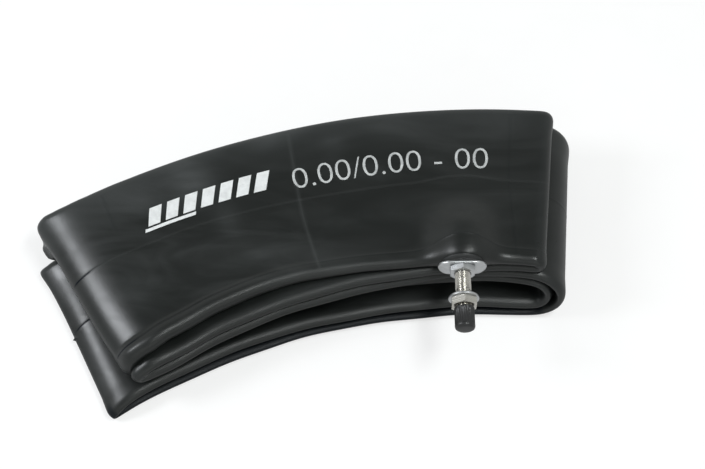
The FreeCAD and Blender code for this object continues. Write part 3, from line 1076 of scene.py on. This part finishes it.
def cap_plastic():
    """Black moulded plastic, scuffed."""
    n = Nodes("cap_plastic")
    cloud = n.noise(150.0, 3.0, 0.5)
    scratch = n.noise(900.0, 8.0, 0.8, stretch=(1.0, 4.0, 1.0), distortion=1.0)
    grain = n.noise(4000.0, 2.0, 0.5)
    base = n.ramp(cloud, (0.012, 0.012, 0.013), (0.022, 0.022, 0.023))
    scuffed = n.times(n.part(scratch, 0.60, 0.80), 0.25)
    n.set("Base Color", n.mix(scuffed, base, (0.10, 0.10, 0.10)))
    n.set("Roughness", n.plus(n.ramp(scratch, 0.28, 0.44), scuffed, 0.5))
    n.bump([(scratch, 0.12, 0.03), (grain, 0.2, 0.01)])
    return n.material


def print_ink(name, low, high):
    """White stamped ink, slightly thin and rubbed in places."""
    n = Nodes(name)
    thin = n.noise(260.0, 5.0, 0.65)
    worn = n.noise(1500.0, 5.0, 0.7)
    base = n.ramp(thin, low, high, 0.3, 0.6)
    gaps = n.times(n.part(worn, 0.64, 0.72), 0.55)
    n.set("Base Color", n.mix(gaps, base, (0.10, 0.10, 0.10)))
    n.set("Roughness", n.ramp(thin, 0.50, 0.66))
    n.bump([(worn, 0.2, 0.04)])
    return n.material


def floor_material():
    """Pale studio floor. It stays near white and takes only a faint shadow."""
    n = Nodes("studio_floor")
    paper = n.noise(60.0, 4.0, 0.5)
    n.set("Base Color", n.ramp(paper, (0.80, 0.80, 0.80), (0.82, 0.82, 0.82)))
    n.set("Roughness", 0.9)
    n.set("Specular IOR Level", 0.1)
    path = n.add("ShaderNodeLightPath")
    mirrored = n.ramp((path, "Is Glossy Ray"), FLOOR_BOUNCE, FLOOR_MIRRORED, 0.0, 1.0)
    strength = n.math("MAXIMUM", mirrored, (path, "Is Camera Ray"))
    glow = n.add("ShaderNodeEmission", [("Color", (FLOOR_GLOW,) * 3), ("Strength", strength)])
    inputs = [(0, FLOOR_SHARE), (1, (n.shader, "BSDF")), (2, (glow, "Emission"))]
    n.feed(n.out.inputs["Surface"], (n.add("ShaderNodeMixShader", inputs), 0))
    return n.material


# ---- studio ----

FLOOR_SIDE = 4000.0
FLOOR_BELOW = 0.02
# Share of the floor's shading that glows evenly, and how bright it is to the camera
FLOOR_SHARE = 0.56
FLOOR_GLOW = 1.15
# Glow of the floor for light scattered onto the object, and as mirrored in its surface
FLOOR_BOUNCE = 0.14
FLOOR_MIRRORED = 0.34
BACKDROP_GLOW = 1.1
# The room that the rubber mirrors: its tint, and (upward part of the direction, brightness)
WORLD_TINT = (0.97, 1.0, 0.98)
WORLD_LEVELS = [(0.0, 0.60), (0.45, 0.50), (0.70, 0.36), (0.85, 0.23), (0.93, 0.15), (1.0, 0.14)]
SOFTBOXES = [
    # name, direction from LIGHT_CENTRE, then distance, width and height in metres, radiance, colour
    ("left_softbox", (-0.74, 0.00, 0.67), 1.0, 0.27, 0.34, 17.0, (0.93, 0.96, 1.0)),
    ("top_softbox", (0.40, -0.16, 1.0), 1.1, 0.45, 0.18, 22.8, (0.96, 1.0, 0.99)),
    ("front_softbox", (0.15, -0.85, 0.50), 1.2, 1.1, 0.35, 0.9, (0.98, 1.0, 0.98)),
]
# In metres
LIGHT_CENTRE = Vector((-0.09, 0.03, -0.03))
# Angles in degrees, distance and target in millimetres, focal length in pixels of the image
CAMERA = {"elevation": 61.2, "azimuth": -0.36, "distance": 766.8, "focal": 1525.6,
          "target": (-53.76, 27.07)}
# Height of the camera's target above the folded stack's own zero
CAMERA_LEVEL = 22.0
IMAGE_WIDTH = 705
SENSOR = 36.0


def add_world():
    """The room that lights the scene from all sides. The camera sees it as a plain bright backdrop."""
    world = bpy.data.worlds.new("studio")
    bpy.context.scene.world = world
    n = Tree(world)
    split = n.add("ShaderNodeSeparateXYZ", [(0, (n.add("ShaderNodeTexCoord"), "Generated"))])
    ramp = n.add("ShaderNodeValToRGB", [("Fac", (split, "Z"))])
    elements = ramp.color_ramp.elements
    while len(elements) < len(WORLD_LEVELS):
        elements.new(0.5)
    for element, (position, level) in zip(elements, WORLD_LEVELS):
        element.position = position
        element.color = (*(level * part for part in WORLD_TINT), 1)
    room = n.add("ShaderNodeBackground", [("Color", (ramp, "Color"))])
    seen = n.add("ShaderNodeBackground", [("Color", (1, 1, 1)), ("Strength", BACKDROP_GLOW)])
    path = n.add("ShaderNodeLightPath")
    both = n.add("ShaderNodeMixShader", [(0, (path, "Is Camera Ray")), (1, (room, 0)), (2, (seen, 0))])
    n.add("ShaderNodeOutputWorld", [("Surface", (both, 0))])


def aim(obj, location, back):
    """Places a lamp or camera, with its back turned to a direction."""
    obj.location = location
    obj.rotation_mode = "QUATERNION"
    obj.rotation_quaternion = back.to_track_quat("Z", "Y")


def add_softboxes():
    """Area lamps. Each one's power is worked out from its radiance and its size."""
    for name, direction, distance, width, height, radiance, colour in SOFTBOXES:
        data = bpy.data.lights.new(name, "AREA")
        data.shape = "RECTANGLE"
        data.size = width
        data.size_y = height
        data.energy = radiance * math.pi * width * height
        data.color = colour
        back = Vector(direction).normalized()
        aim(add_object(name, data), LIGHT_CENTRE + back * distance, back)


def add_floor():
    """A wide floor just under the object."""
    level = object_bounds()[0].z / MM - FLOOR_BELOW
    half = FLOOR_SIDE / 2
    points = [(x, y, level) for x in (-half, half) for y in (-half, half)]
    floor = make_object("studio_floor", points, [(0, 2, 3, 1)])
    floor.data.materials.append(floor_material())


def add_camera():
    """The camera, where the photo's camera stood."""
    e, a = math.radians(CAMERA["elevation"]), math.radians(CAMERA["azimuth"])
    back = Vector((math.sin(a) * math.cos(e), -math.cos(a) * math.cos(e), math.sin(e)))
    x, y = CAMERA["target"]
    target = Vector((x, y, CAMERA_LEVEL - ORIGIN[2]))
    data = bpy.data.cameras.new("camera")
    data.sensor_width = SENSOR
    data.lens = CAMERA["focal"] * SENSOR / IMAGE_WIDTH
    data.clip_start, data.clip_end = 0.02, 20
    camera = add_object("camera", data)
    aim(camera, (target + back * CAMERA["distance"]) * MM, back)
    bpy.context.scene.camera = camera


# ---- the object ----

BRASS = ((0.62, 0.47, 0.22), (0.72, 0.56, 0.28))
NICKEL = ((0.58, 0.56, 0.52), (0.70, 0.68, 0.63))
ZINC = ((0.55, 0.56, 0.57), (0.68, 0.69, 0.70))
STEEL = ((0.50, 0.50, 0.50), (0.62, 0.62, 0.62))


def build_tube():
    rows = centre_line()
    dress(casing_skin(rows), "tube", "butyl", butyl_rubber(), "casing")
    top_face = TopFace(rows)
    thin_ink = print_ink("thin_ink", (0.34, 0.35, 0.35), (0.52, 0.53, 0.53))
    full_ink = print_ink("full_ink", (0.62, 0.63, 0.63), (0.74, 0.75, 0.75))
    dress(size_digits(top_face), "tube", None, thin_ink)
    dress(plain_mark(top_face), "tube", None, full_ink)


def build_valve():
    nickel = metal("nickelled_brass", *NICKEL, 0.24, tarnish=(0.30, 0.22, 0.12))
    zinc = metal("zinc_steel", *ZINC, 0.34, tarnish=(0.22, 0.20, 0.17), amount=0.2)
    seal = moulded_rubber("seal_rubber", (0.010, 0.010, 0.011), (0.022, 0.022, 0.022), 0.55)
    pad = moulded_rubber("pad_rubber", (0.011, 0.012, 0.012), (0.020, 0.021, 0.022), 0.48)
    dress(valve_patch(), "tube", "pad_rubber", pad, "valve_pad")
    dress(threaded_stem(), "tube", "nickelled_brass", nickel, "valve_stem")
    dress(bridge_washer(), "tube", "zinc_steel", zinc, "bridge_washer")
    dress(hex_nut("base_hex_nut", *BASE_NUT), "tube", "zinc_steel", zinc, "base_nut")
    washer = turned("rim_ring", rounded_ring(WASHER_BORE, 7.5, *RIM_WASHER, 0.2), 96)
    dress(washer, "rim_washer", "zinc_steel", zinc, "rim_washer")
    dress(hex_nut("rim_hex_nut", *RIM_NUT), "rim_nut", "nickelled_brass", nickel, "rim_nut")
    dress(ribbed_cap(), "cap", "cap_plastic", cap_plastic(), "valve_cap")
    gasket = turned("cap_seal_ring", rounded_ring(2.7, 3.8, *CAP_GASKET, 0.3), 64)
    dress(gasket, "cap_gasket", "seal_rubber", seal, "cap_gasket")


# The core's spring, between its seat and the pin's collar, as distances outward
SPRING_SEAT = 10.4
SPRING_COLLAR = 17.5
SPRING_TURNS = 9
SPRING_RADIUS = 0.8
SPRING_WIRE = 0.12
SPRING_SLACK = 0.03


def coil_spring():
    """The core's spring: round wire, with a closed turn at each end."""
    steps, sides = 28, 12
    turns = np.linspace(0, SPRING_TURNS, SPRING_TURNS * steps + 1)
    first = SPRING_SEAT + SPRING_WIRE + SPRING_SLACK
    last = SPRING_COLLAR - SPRING_WIRE - SPRING_SLACK
    closed = 2.1 * SPRING_WIRE
    heights = np.interp(turns, [0, 1, SPRING_TURNS - 1, SPRING_TURNS],
                        [first, first + closed, last - closed, last])
    vertices = []
    for turn_count, out in zip(turns, heights):
        a = 2 * math.pi * turn_count
        for side in range(sides):
            b = 2 * math.pi * side / sides
            radius = SPRING_RADIUS + SPRING_WIRE * math.cos(b)
            vertices.append(about_axis(radius, a, out + SPRING_WIRE * math.sin(b)))
    faces = ring_faces(len(turns), sides, close_rows=False)
    end = len(vertices) - sides
    faces += [tuple(range(sides)), tuple(range(end, end + sides))]
    return make_object("core_coil", vertices, faces, 50)


def build_core():
    brass = metal("core_brass", *BRASS, 0.26, tarnish=(0.25, 0.13, 0.05), amount=0.18)
    steel = metal("spring_steel", *STEEL, 0.30)
    seal = moulded_rubber("core_rubber", (0.012, 0.012, 0.012), (0.024, 0.024, 0.024), 0.5)
    tapered = [(1.77, 17.0), (1.85, 16.92), (2.0, 16.92), (2.08, 17.0), (2.48, 18.1), (2.5, 18.3),
               (2.5, 19.0), (2.42, 19.18), (1.9, 19.2), (1.77, 19.1)]
    core_ring = turned("core_seal_ring", tapered, 64)
    dress(core_ring, "tube", "seal_rubber", seal, "core_seal")
    cup_ring = turned("cup_seal_ring", rounded_ring(0.6, 1.4, 7.25, 8.95, 0.15), 48)
    dress(cup_ring, "core_pin", "seal_rubber", seal, "core_cup_seal")
    coil = dress(coil_spring(), "tube", "spring_steel", steel, "core_spring")
    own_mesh(coil)
    for node in ("core_plug", "core_barrel", "core_pin", "core_cup"):
        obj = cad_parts[node]
        obj.data.materials.clear()
        obj.data.materials.append(brass)


build_tube()
build_valve()
build_core()
add_floor()
add_world()
add_softboxes()
add_camera()
bpy.context.scene.view_settings.view_transform = "Standard"
